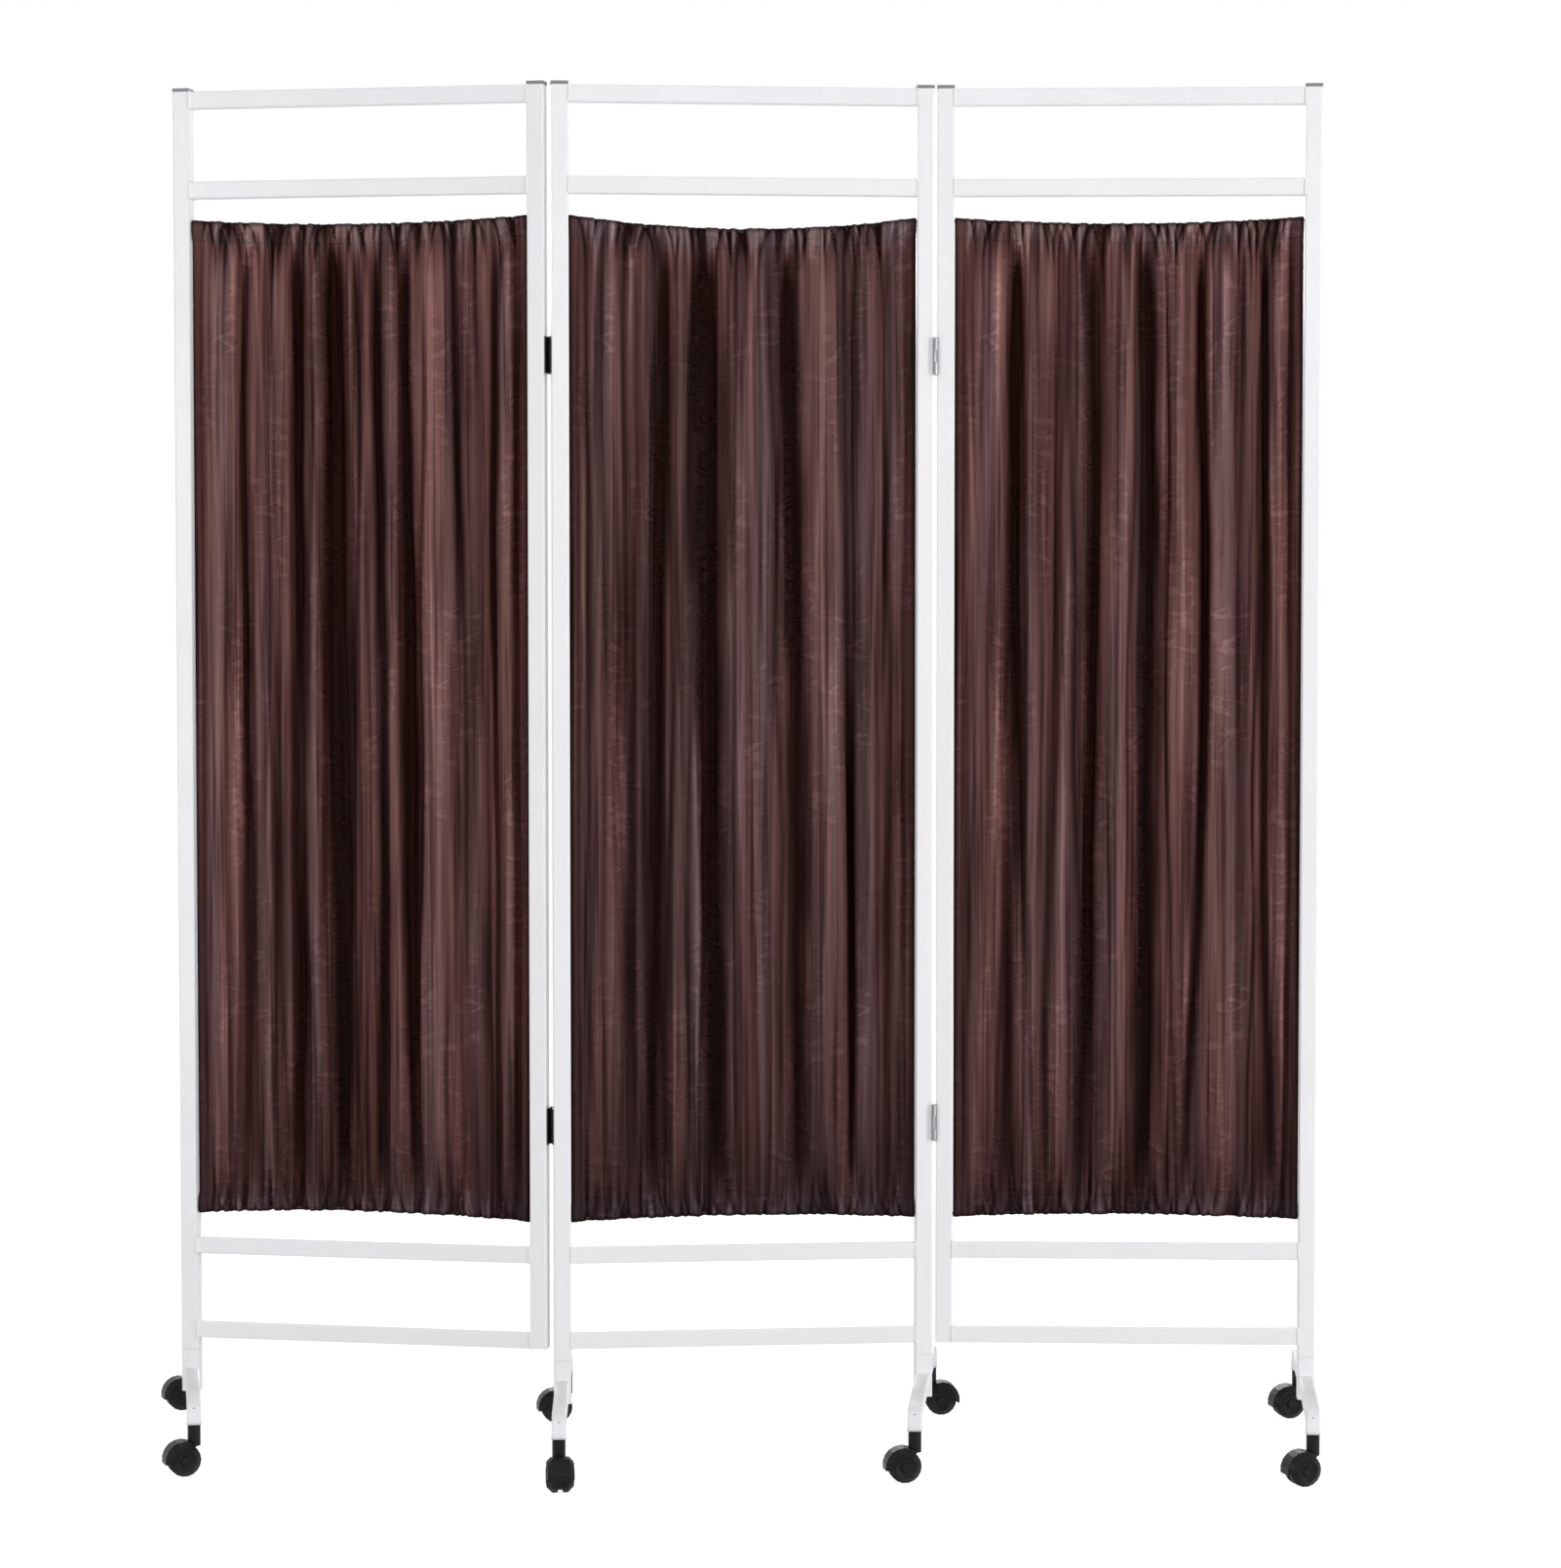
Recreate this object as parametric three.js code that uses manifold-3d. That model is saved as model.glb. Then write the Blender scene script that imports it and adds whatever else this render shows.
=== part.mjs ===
// Ward privacy screen on wheels: three hinged panels of white square tube, each with a gathered
// curtain on two elastic cords, standing on four splayed feet with eight twin-wheel casters.
// Units are millimetres and degrees, +Z is up, the middle panel lies along X, its front faces -Y.
import * as THREE from "three";
import { mergeVertices } from "three/addons/utils/BufferGeometryUtils.js";
import Module from "manifold-3d";

const wasm = await Module();
wasm.setup();

// Frame: square tube, the same for uprights and rails
const panelWidth = 497;
const frameTop = 1778;
const tubeSize = 22;
const tubeWall = 1.2;
const tubeCorner = 2;
const secondRailDrop = 117;
const lowerRailRise = 112;
const bottomRailTop = 162;

// Caps on the upright tops
const capOverhang = 0.5;
const capThickness = 4;
const capPlugDepth = 12;

// Curtains and the cords through their casings
const curtainTopGap = 27;
const curtainBottomGap = 31;
const curtainSideGap = 1;
const clothThickness = 2;
const casingThickness = 8;
const casingHeight = 28;
const gatherFlare = 60;
const foldDepth = 6;
const edgeFoldShare = 1 / 8;
const stitchFoldShare = 1 / 3;
const mainFoldShare = 0.75;
const minorFoldRatio = 1.62;
const leftFoldPhase = 2.1;
const middleFoldPhase = 0.6;
const rightFoldPhase = 3.7;
const leftTopSag = 8;
const middleTopSag = 16;
const rightTopSag = 8;
const leftBottomRise = 8;
const middleBottomRise = 6;
const rightBottomRise = 5;
const cordDiameter = 3;
const cordInset = 4.5;
const cordHoleDiameter = 4.4;
const ferruleDiameter = 6;
const ferruleLength = 4;
const sideHemWidth = 9;

// Hinges: two on each fold line, with leaves in the gap between the uprights
const upperHingeDrop = 346;
const lowerHingeRise = 269;
const hingeHeight = 47;
const leafThickness = 1.2;
const leafDepth = 18;
const leafClearance = 0.4;
const knuckleDiameter = 6;
const pinDiameter = 2.8;
const pinHeadDiameter = 5;
const pinHeadHeight = 1.2;
const leftFoldAngle = 16.3;
const rightFoldAngle = 8.5;

// Feet: two bent legs welded to the front and rear of a short hub that plugs into an upright
const hubBottom = 68;
const hubTop = 124;
const hubPlugDepth = 10;
const spigotHeight = 25;
const legSize = 18;
const legWall = 1.2;
const legCorner = 2;
const footLength = 424;
const legEndHeight = 68;
const legEndRun = 4;
const legBendRadius = 15;
const legSlope = 1;
const leftFootYaw = 19;
const middleLeftFootYaw = -4.2;
const middleRightFootYaw = -10.6;
const rightFootYaw = -2;

// Casters: a socket in the leg end, a hooded housing on a stem in it, two wheels on one axle
const wheelDiameter = 42;
const wheelPairWidth = 34;
const webThickness = 6;
const wheelClearance = 0.6;
const axleDiameter = 5;
const hubDiameter = 13;
const hubDishDepth = 2.4;
const rimWidth = 4;
const treadRound = 7;
const trail = 14;
const barrelDiameter = 17;
const barrelChamfer = 1;
const barrelBottom = 38;
const hoodThickness = 2.6;
const hoodShift = 1.5;
const hoodWidth = 34;
const hoodBackAngle = -18;
const hoodFrontAngle = 140;
const webDiscDiameter = 36;
const stemDiameter = 8;
const stemDepth = 18;
const socketFlange = 2.5;
const socketOverhang = 0.5;
const swivelClearance = 0.5;

// Turn of each foot's front and rear caster about its stem, as they came to rest
const leftFootHeadings = [-149, -149];
const middleLeftFootHeadings = [-88, -174];
const middleRightFootHeadings = [-176, 0];
const rightFootHeadings = [-160, -165];

// Clearances, and how far welded or moulded pieces run into each other
const seatGap = 0.3;
const runningGap = 0.15;
const joinDepth = 0.2;

// Counts of sides, steps and folds
const pinSides = 10;
const boreSides = 8;
const wheelSides = 18;
const hoodSides = 18;
const openingSteps = 4;
const barrelSides = 12;
const bendSteps = 4;
const cordSteps = 6;
const clothColumns = 44;
const clothFolds = 9;
const knuckleCount = 3;

// Worked out from the sizes above
const secondRailTop = frameTop - secondRailDrop;
const lowerRailTop = bottomRailTop + lowerRailRise;
const curtainTop = secondRailTop - tubeSize - curtainTopGap;
const curtainBottom = lowerRailTop + curtainBottomGap;
const upperHingeHeight = frameTop - upperHingeDrop;
const lowerHingeHeight = bottomRailTop + lowerHingeRise;
const panelGap = 2 * (seatGap + leafThickness) + leafClearance;
const clearWidth = panelWidth - 2 * tubeSize;
const curtainWidth = clearWidth - 2 * curtainSideGap;
const pinOffset = tubeSize / 2 + knuckleDiameter / 2 + seatGap;
const pinAcross = panelWidth / 2 + panelGap / 2;
const uprightAcross = panelWidth / 2 - tubeSize / 2;
const bottomRailUnderside = bottomRailTop - tubeSize;

const paintWhite = new THREE.MeshStandardMaterial({ color: 0xf1f2f4, roughness: 0.38, metalness: 0.05 });
const capGrey = new THREE.MeshStandardMaterial({ color: 0x8b8e92, roughness: 0.5, metalness: 0 });
const clothBrown = new THREE.MeshStandardMaterial({ color: 0x4b2c25, roughness: 0.85, metalness: 0 });
const cordWhite = new THREE.MeshStandardMaterial({ color: 0xd8d8d4, roughness: 0.8, metalness: 0 });
const hingeBlack = new THREE.MeshStandardMaterial({ color: 0x17171a, roughness: 0.45, metalness: 0.6 });
const hingeZinc = new THREE.MeshStandardMaterial({ color: 0x94989c, roughness: 0.4, metalness: 0.8 });
const housingBlack = new THREE.MeshStandardMaterial({ color: 0x141416, roughness: 0.4, metalness: 0 });
const wheelBlack = new THREE.MeshStandardMaterial({ color: 0x1c1c1f, roughness: 0.5, metalness: 0 });

function radians(degrees) {
  return THREE.MathUtils.degToRad(degrees);
}

// A closed geometry as a solid that can be joined and cut
function toSolid(geometry) {
  const bare = geometry.clone();
  bare.deleteAttribute("normal");
  bare.deleteAttribute("uv");
  const merged = mergeVertices(bare);
  return new wasm.Manifold(new wasm.Mesh({
    numProp: 3,
    vertProperties: new Float32Array(merged.attributes.position.array),
    triVerts: new Uint32Array(merged.index.array),
  }));
}

function toGeometry(solid) {
  const mesh = solid.getMesh();
  const geometry = new THREE.BufferGeometry();
  geometry.setAttribute("position", new THREE.BufferAttribute(mesh.vertProperties, 3));
  geometry.setIndex(new THREE.BufferAttribute(mesh.triVerts, 1));
  geometry.computeVertexNormals();
  return geometry;
}

function join(geometries) {
  return toGeometry(geometries.map(toSolid).reduce((whole, next) => whole.add(next)));
}

function cut(geometry, tools) {
  return toGeometry(tools.map(toSolid).reduce((rest, tool) => rest.subtract(tool), toSolid(geometry)));
}

function makeMesh(name, geometry, material) {
  const mesh = new THREE.Mesh(geometry, material);
  mesh.name = name;
  return mesh;
}

function roundedSquare(size, corner) {
  const straight = size / 2 - corner;
  const outline = new THREE.Shape();
  outline.absarc(straight, straight, corner, 0, Math.PI / 2);
  outline.absarc(-straight, straight, corner, Math.PI / 2, Math.PI);
  outline.absarc(-straight, -straight, corner, Math.PI, 1.5 * Math.PI);
  outline.absarc(straight, -straight, corner, 1.5 * Math.PI, 2 * Math.PI);
  outline.closePath();
  return outline;
}

function squareTubeSection(size, wall, corner) {
  const section = roundedSquare(size, corner);
  const bore = size / 2 - wall;
  const hole = new THREE.Path();
  hole.moveTo(-bore, -bore);
  hole.lineTo(-bore, bore);
  hole.lineTo(bore, bore);
  hole.lineTo(bore, -bore);
  hole.closePath();
  section.holes.push(hole);
  return section;
}

// Box between two corners
function blockBetween(low, high) {
  const size = high.clone().sub(low);
  const block = new THREE.BoxGeometry(size.x, size.y, size.z);
  block.translate(low.x + size.x / 2, low.y + size.y / 2, low.z + size.z / 2);
  return block;
}

// Cylinder along Z from one height to another
function post(radius, low, high, sides) {
  const cylinder = new THREE.CylinderGeometry(radius, radius, high - low, sides);
  cylinder.rotateX(Math.PI / 2);
  cylinder.translate(0, 0, (low + high) / 2);
  return cylinder;
}

// Radius of a faceted bore whose flats clear a turning shaft
function boreRadius(shaftRadius, sides) {
  return (shaftRadius + runningGap) / Math.cos(Math.PI / sides);
}

// Cylinder along Y, centred on the XZ point given
function crossBar(radius, length, sides, x, z) {
  const cylinder = new THREE.CylinderGeometry(radius, radius, length, sides);
  cylinder.translate(x, 0, z);
  return cylinder;
}

function squareTube(size, wall, corner, low, high) {
  const tube = new THREE.ExtrudeGeometry(squareTubeSection(size, wall, corner), {
    depth: high - low, bevelEnabled: false, curveSegments: 1,
  });
  tube.translate(0, 0, low);
  return tube;
}

// Upright: a square tube with a drilled hole for each cord end in the face towards the curtain
function uprightGeometry(low, inward) {
  const tube = squareTube(tubeSize, tubeWall, tubeCorner, low, frameTop);
  const holes = [curtainTop - cordInset, curtainBottom + cordInset].map((height) => {
    const hole = new THREE.CylinderGeometry(cordHoleDiameter / 2, cordHoleDiameter / 2, tubeSize, boreSides);
    hole.rotateZ(Math.PI / 2);
    hole.translate(inward * tubeSize / 2, 0, height);
    return hole;
  });
  return cut(tube, holes);
}

// Rail: a square tube between the uprights, stopped short of them by the weld's seat
function railGeometry() {
  const half = clearWidth / 2 - seatGap;
  const tube = squareTube(tubeSize, tubeWall, tubeCorner, -half, half);
  tube.rotateY(Math.PI / 2);
  return tube;
}

// Cap: a thin plate over the tube end with a plug in its bore
function capGeometry() {
  const plate = new THREE.ExtrudeGeometry(roundedSquare(tubeSize + 2 * capOverhang, tubeCorner), {
    depth: capThickness, bevelEnabled: false, curveSegments: 1,
  });
  plate.translate(0, 0, seatGap);
  const plugHalf = tubeSize / 2 - tubeWall - seatGap;
  const plug = blockBetween(
    new THREE.Vector3(-plugHalf, -plugHalf, -capPlugDepth),
    new THREE.Vector3(plugHalf, plugHalf, seatGap + joinDepth),
  );
  return join([plate, plug]);
}

// Height at x of an edge that hangs as a parabola between the uprights' inner faces
function sagging(height, sag, x) {
  return height - sag * (1 - (2 * x / clearWidth) ** 2);
}

// Round rod along a sagging line, from one side to the other
function saggingRod(radius, height, sag, endAcross) {
  const endHeight = sagging(height, sag, endAcross);
  const controlHeight = 2 * sagging(height, sag, 0) - endHeight;
  const line = new THREE.QuadraticBezierCurve3(
    new THREE.Vector3(-endAcross, 0, endHeight),
    new THREE.Vector3(0, 0, controlHeight),
    new THREE.Vector3(endAcross, 0, endHeight),
  );
  const round = new THREE.Shape();
  round.absarc(0, 0, radius, 0, 2 * Math.PI);
  return new THREE.ExtrudeGeometry(round, {
    steps: cordSteps, extrudePath: line, bevelEnabled: false, curveSegments: boreSides / 2,
  });
}

// Rods of one radius along all four hems of a curtain, reaching the given distance to each side
function hemRods(radius, topSag, bottomRise, endAcross) {
  const topLine = curtainTop - cordInset;
  const bottomLine = curtainBottom + cordInset;
  const sideAcross = curtainWidth / 2 - sideHemWidth / 2;
  const low = sagging(bottomLine, -bottomRise, sideAcross);
  const high = sagging(topLine, topSag, sideAcross);
  const sides = [-1, 1].map((side) => {
    const rod = post(radius, low, high, boreSides);
    rod.translate(side * sideAcross, 0, 0);
    return rod;
  });
  return [
    saggingRod(radius, topLine, topSag, endAcross),
    saggingRod(radius, bottomLine, -bottomRise, endAcross),
    ...sides,
  ];
}

// Cord: one elastic cord in all four hems, with a ferrule inside the upright at each corner
function cordGeometry(topSag, bottomRise) {
  const ferruleStart = clearWidth / 2 + tubeWall + seatGap;
  const ferruleMiddle = ferruleStart + ferruleLength / 2;
  const ferrules = [];
  const lines = [[curtainTop - cordInset, topSag], [curtainBottom + cordInset, -bottomRise]];
  for (const [height, sag] of lines) {
    for (const side of [-1, 1]) {
      const ferrule = new THREE.CylinderGeometry(
        ferruleDiameter / 2, ferruleDiameter / 2, ferruleLength, boreSides,
      );
      ferrule.rotateZ(Math.PI / 2);
      ferrule.translate(side * ferruleMiddle, 0, sagging(height, sag, ferruleMiddle));
      ferrules.push(ferrule);
    }
  }
  return join([...hemRods(cordDiameter / 2, topSag, bottomRise, ferruleMiddle), ...ferrules]);
}

// Share of the curtain's width at a column: the outermost columns bound the side hems
function columnShare(column) {
  const hemShare = sideHemWidth / curtainWidth;
  if (column === 0) {
    return 0;
  }
  if (column === clothColumns) {
    return 1;
  }
  return hemShare + (1 - 2 * hemShare) * (column - 1) / (clothColumns - 2);
}

// Depth of the gathers at a share of the width: two waves that run out at the side hems
function foldWave(share, phase) {
  const turn = 2 * Math.PI * clothFolds;
  const main = Math.sin(turn * share + phase);
  const minor = Math.sin(turn * minorFoldRatio * share + 2 * phase);
  const fromHem = Math.min(share, 1 - share) - sideHemWidth / curtainWidth;
  const fade = Math.min(1, Math.max(0, fromHem * clothFolds));
  return fade * (mainFoldShare * main + (1 - mainFoldShare) * minor);
}

// Curtain: one gathered cloth with a casing along each edge, bored for the cord
function curtainGeometry(topSag, bottomRise, phase) {
  const edgeWave = foldDepth * edgeFoldShare;
  const stitchWave = foldDepth * stitchFoldShare;
  const flareHeight = casingHeight + gatherFlare;
  const rows = [
    { fromBottom: 0, wave: edgeWave, thickness: casingThickness },
    { fromBottom: casingHeight, wave: stitchWave, thickness: clothThickness },
    { fromBottom: flareHeight, wave: foldDepth, thickness: clothThickness },
    { fromTop: flareHeight, wave: foldDepth, thickness: clothThickness },
    { fromTop: casingHeight, wave: stitchWave, thickness: clothThickness },
    { fromTop: 0, wave: edgeWave, thickness: casingThickness },
  ];
  const positions = [];
  for (const side of [-1, 1]) {
    for (const row of rows) {
      for (let column = 0; column <= clothColumns; column += 1) {
        const share = columnShare(column);
        const x = (share - 0.5) * curtainWidth;
        const low = sagging(curtainBottom, -bottomRise, x);
        const high = sagging(curtainTop, topSag, x);
        const z = "fromBottom" in row ? low + row.fromBottom : high - row.fromTop;
        const inSideHem = column <= 1 || column >= clothColumns - 1;
        const thickness = inSideHem ? casingThickness : row.thickness;
        positions.push(x, row.wave * foldWave(share, phase) + side * thickness / 2, z);
      }
    }
  }
  const perRow = clothColumns + 1;
  const back = rows.length * perRow;
  const faces = [];
  function quad(a, b, c, d) {
    faces.push(a, b, c, a, c, d);
  }
  for (let row = 0; row + 1 < rows.length; row += 1) {
    for (let column = 0; column < clothColumns; column += 1) {
      const here = row * perRow + column;
      const above = here + perRow;
      quad(here, here + 1, above + 1, above);
      quad(back + here, back + above, back + above + 1, back + here + 1);
    }
    const left = row * perRow;
    const right = left + clothColumns;
    quad(left, left + perRow, back + left + perRow, back + left);
    quad(right, back + right, back + right + perRow, right + perRow);
  }
  const topRow = (rows.length - 1) * perRow;
  for (let column = 0; column < clothColumns; column += 1) {
    const top = topRow + column;
    quad(column, back + column, back + column + 1, column + 1);
    quad(top, top + 1, back + top + 1, back + top);
  }
  const cloth = new THREE.BufferGeometry();
  cloth.setAttribute("position", new THREE.Float32BufferAttribute(positions, 3));
  cloth.setIndex(faces);
  return cut(cloth, hemRods(cordDiameter / 2 + seatGap, topSag, bottomRise, clearWidth / 2));
}

// Hinge leaf: a plate in the gap beside its upright, with the knuckles given, counted from its foot.
// The pin is the Z axis here, and side is +1 or -1 for the plate's side of it along X.
function hingeLeafSolids(side, knuckles) {
  const knuckleHeight = hingeHeight / knuckleCount;
  const knuckleRadius = knuckleDiameter / 2;
  function plateBetween(far, near, low, high) {
    const inner = side * leafClearance / 2;
    const outer = side * (leafClearance / 2 + leafThickness);
    return blockBetween(
      new THREE.Vector3(Math.min(inner, outer), -far, low),
      new THREE.Vector3(Math.max(inner, outer), -near, high),
    );
  }
  const plateNear = knuckleRadius + seatGap;
  const pieces = [plateBetween(plateNear + leafDepth, plateNear, -hingeHeight / 2, hingeHeight / 2)];
  for (const knuckle of knuckles) {
    const low = -hingeHeight / 2 + knuckle * knuckleHeight + runningGap;
    const high = low + knuckleHeight - 2 * runningGap;
    pieces.push(plateBetween(plateNear + leafDepth / 2, knuckleRadius / 2, low, high));
    pieces.push(post(knuckleRadius, low, high, pinSides));
  }
  return pieces;
}

// Fixed leaf: the upper and lower knuckles, with the pin riveted in them
function fixedLeafGeometry() {
  const end = hingeHeight / 2 - runningGap;
  const shaft = pinDiameter / 2;
  const head = pinHeadDiameter / 2;
  const profile = [
    new THREE.Vector2(0, -end - pinHeadHeight),
    new THREE.Vector2(head / 2, -end - pinHeadHeight),
    new THREE.Vector2(head, -end),
    new THREE.Vector2(shaft, -end),
    new THREE.Vector2(shaft, end),
    new THREE.Vector2(head, end),
    new THREE.Vector2(head / 2, end + pinHeadHeight),
    new THREE.Vector2(0, end + pinHeadHeight),
  ];
  const pin = new THREE.LatheGeometry(profile, pinSides);
  pin.rotateX(Math.PI / 2);
  return join([...hingeLeafSolids(1, [0, knuckleCount - 1]), pin]);
}

// Moving leaf: the middle knuckle, bored for the pin
function movingLeafGeometry() {
  const bore = post(boreRadius(pinDiameter / 2, pinSides), -hingeHeight / 2, hingeHeight / 2, pinSides);
  return cut(join(hingeLeafSolids(-1, [1])), [bore]);
}

// Middle line of a leg: straight out from the hub, round the bend, then straight down to its end
class LegLine extends THREE.Curve {
  constructor(direction) {
    super();
    this.direction = direction;
  }

  getPoint(share) {
    const slope = radians(legSlope);
    const stage = share * (bendSteps + 2);
    const bendAcross = footLength / 2 - legBendRadius;
    const bendHeight = legEndHeight + legEndRun;
    const turn = slope + (Math.PI / 2 - slope) * THREE.MathUtils.clamp((stage - 1) / bendSteps, 0, 1);
    const across = bendAcross + legBendRadius * Math.sin(turn);
    const height = bendHeight + legBendRadius * Math.cos(turn);
    const rootShare = Math.max(0, 1 - stage);
    const endShare = Math.max(0, stage - 1 - bendSteps);
    return new THREE.Vector3(
      0,
      this.direction * across * (1 - rootShare),
      height + rootShare * across * Math.tan(slope) - endShare * legEndRun,
    );
  }

  getPointAt(share) {
    return this.getPoint(share);
  }

  getTangentAt(share) {
    return this.getTangent(share);
  }
}

// Leg: a bent square tube with a caster socket moulded in its lower end.
// The hub is the Z axis here, and direction is -1 for the front leg and +1 for the rear one.
function legGeometry(direction) {
  const tube = new THREE.ExtrudeGeometry(squareTubeSection(legSize, legWall, legCorner), {
    steps: bendSteps + 2, extrudePath: new LegLine(direction), bevelEnabled: false, curveSegments: 1,
  });
  const flange = new THREE.ExtrudeGeometry(roundedSquare(legSize + 2 * socketOverhang, legCorner), {
    depth: socketFlange + joinDepth, bevelEnabled: false, curveSegments: 1,
  });
  flange.translate(0, direction * footLength / 2, legEndHeight - socketFlange);
  const plugHalf = legSize / 2 - legWall + joinDepth;
  const plug = blockBetween(
    new THREE.Vector3(-plugHalf, direction * footLength / 2 - plugHalf, legEndHeight),
    new THREE.Vector3(plugHalf, direction * footLength / 2 + plugHalf, legEndHeight + legEndRun),
  );
  const boreTop = legEndHeight + stemDepth + swivelClearance;
  const bore = post(boreRadius(stemDiameter / 2, barrelSides), 0, boreTop, barrelSides);
  bore.translate(0, direction * footLength / 2, 0);
  const hubHalf = tubeSize / 2 - joinDepth;
  const hubSpace = blockBetween(
    new THREE.Vector3(-tubeSize, -hubHalf, hubBottom),
    new THREE.Vector3(tubeSize, hubHalf, hubTop),
  );
  return { leg: cut(join([tube, flange, plug]), [bore]), hubSpace };
}

// Foot: the hub with its spigot up into the upright, and both legs turned to the foot's own angle
function footGeometry(yaw) {
  const legs = [-1, 1].map((direction) => {
    const { leg, hubSpace } = legGeometry(direction);
    leg.rotateZ(radians(yaw));
    return cut(leg, [hubSpace]);
  });
  const hub = squareTube(tubeSize, tubeWall, tubeCorner, hubBottom, hubTop);
  const plugHalf = tubeSize / 2 - tubeWall + joinDepth;
  const plug = blockBetween(
    new THREE.Vector3(-plugHalf, -plugHalf, hubTop - hubPlugDepth),
    new THREE.Vector3(plugHalf, plugHalf, hubTop),
  );
  const spigotHalf = tubeSize / 2 - tubeWall - seatGap;
  const spigot = blockBetween(
    new THREE.Vector3(-spigotHalf, -spigotHalf, hubTop - joinDepth),
    new THREE.Vector3(spigotHalf, spigotHalf, hubTop + spigotHeight),
  );
  return join([hub, plug, spigot, ...legs]);
}

// Place of a leg's lower end, from the upright's axis
function legEnd(yaw, direction) {
  const reach = direction * footLength / 2;
  return new THREE.Vector3(-reach * Math.sin(radians(yaw)), reach * Math.cos(radians(yaw)), 0);
}

// Outer half of the outline of a crowned body that lies round the wheels at a given distance
function crownedOutline(distance, outer) {
  const radius = wheelDiameter / 2 + distance;
  const shoulder = wheelPairWidth / 2 - treadRound + distance * Math.tan(Math.PI / 8);
  return [
    new THREE.Vector2(radius, shoulder),
    new THREE.Vector2(radius + shoulder - outer, outer),
    new THREE.Vector2(0, outer),
  ];
}

// Room for one wheel beside the web, on the side that the turn brings it to
function wheelPocket(turn) {
  const inner = webThickness / 2;
  const profile = [
    new THREE.Vector2(0, inner),
    new THREE.Vector2(wheelDiameter / 2 + wheelClearance, inner),
    ...crownedOutline(wheelClearance, hoodWidth / 2 + joinDepth),
  ];
  const pocket = new THREE.LatheGeometry(profile, hoodSides);
  pocket.rotateX(turn);
  pocket.translate(trail, 0, wheelDiameter / 2);
  return pocket;
}

// Hood: a crowned shell over the wheels, open below and in front, and the web's round disc
function hoodGeometry() {
  const axleHeight = wheelDiameter / 2;
  const half = crownedOutline(wheelClearance + hoodThickness, hoodWidth / 2);
  const otherHalf = half.map((point) => new THREE.Vector2(point.x, -point.y)).reverse();
  const shell = new THREE.LatheGeometry([...otherHalf, ...half], hoodSides);
  shell.translate(trail + hoodShift, 0, axleHeight);
  const openFrom = radians(hoodFrontAngle);
  const openTo = radians(hoodBackAngle) + 2 * Math.PI;
  const opening = new THREE.Shape();
  opening.moveTo(trail, axleHeight);
  opening.absarc(trail, axleHeight, wheelDiameter, openFrom, openTo);
  opening.closePath();
  const openSpace = new THREE.ExtrudeGeometry(opening, {
    depth: 2 * hoodWidth, bevelEnabled: false, curveSegments: openingSteps,
  });
  openSpace.translate(0, 0, -hoodWidth);
  openSpace.rotateX(Math.PI / 2);
  const web = crossBar(webDiscDiameter / 2, webThickness, hoodSides, trail, axleHeight);
  return join([cut(shell, [openSpace]), web]);
}

// Caster housing: a barrel and stem on the hood, with a pocket for each wheel beside the web.
// The swivel axis is the Z axis here, and the wheels trail towards +X.
function casterHousingGeometry() {
  const barrelRadius = barrelDiameter / 2;
  const barrelTop = legEndHeight - socketFlange - swivelClearance;
  const profile = [
    new THREE.Vector2(0, barrelBottom),
    new THREE.Vector2(barrelRadius, barrelBottom),
    new THREE.Vector2(barrelRadius, barrelTop - barrelChamfer),
    new THREE.Vector2(barrelRadius - barrelChamfer, barrelTop),
    new THREE.Vector2(stemDiameter / 2, barrelTop),
    new THREE.Vector2(stemDiameter / 2, legEndHeight + stemDepth),
    new THREE.Vector2(0, legEndHeight + stemDepth),
  ];
  const barrel = new THREE.LatheGeometry(profile, barrelSides);
  barrel.rotateX(Math.PI / 2);
  const boreSize = boreRadius(axleDiameter / 2, boreSides);
  const axleBore = crossBar(boreSize, hoodWidth, boreSides, trail, wheelDiameter / 2);
  return cut(join([hoodGeometry(), barrel]), [wheelPocket(0), wheelPocket(Math.PI), axleBore]);
}

// Wheel pair: two wheels with crowned treads and dished faces, pressed on one axle along Y
function wheelPairGeometry() {
  const inner = webThickness / 2 + wheelClearance;
  const outer = wheelPairWidth / 2;
  const tread = wheelDiameter / 2;
  const dish = outer - hubDishDepth;
  const profile = [
    new THREE.Vector2(0, inner),
    new THREE.Vector2(tread, inner),
    new THREE.Vector2(tread, outer - treadRound),
    new THREE.Vector2(tread - treadRound, outer),
    new THREE.Vector2(tread - treadRound - rimWidth, dish),
    new THREE.Vector2(hubDiameter / 2, dish),
    new THREE.Vector2(hubDiameter / 2 - hubDishDepth / 2, outer),
    new THREE.Vector2(0, outer),
  ];
  const wheels = [0, Math.PI].map((turn) => {
    const wheel = new THREE.LatheGeometry(profile, wheelSides);
    wheel.rotateY(Math.PI / wheelSides);
    wheel.rotateX(turn);
    return wheel;
  });
  const axle = crossBar(axleDiameter / 2, 2 * inner + 2 * joinDepth, boreSides, 0, 0);
  return join([...wheels, axle]);
}

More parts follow.
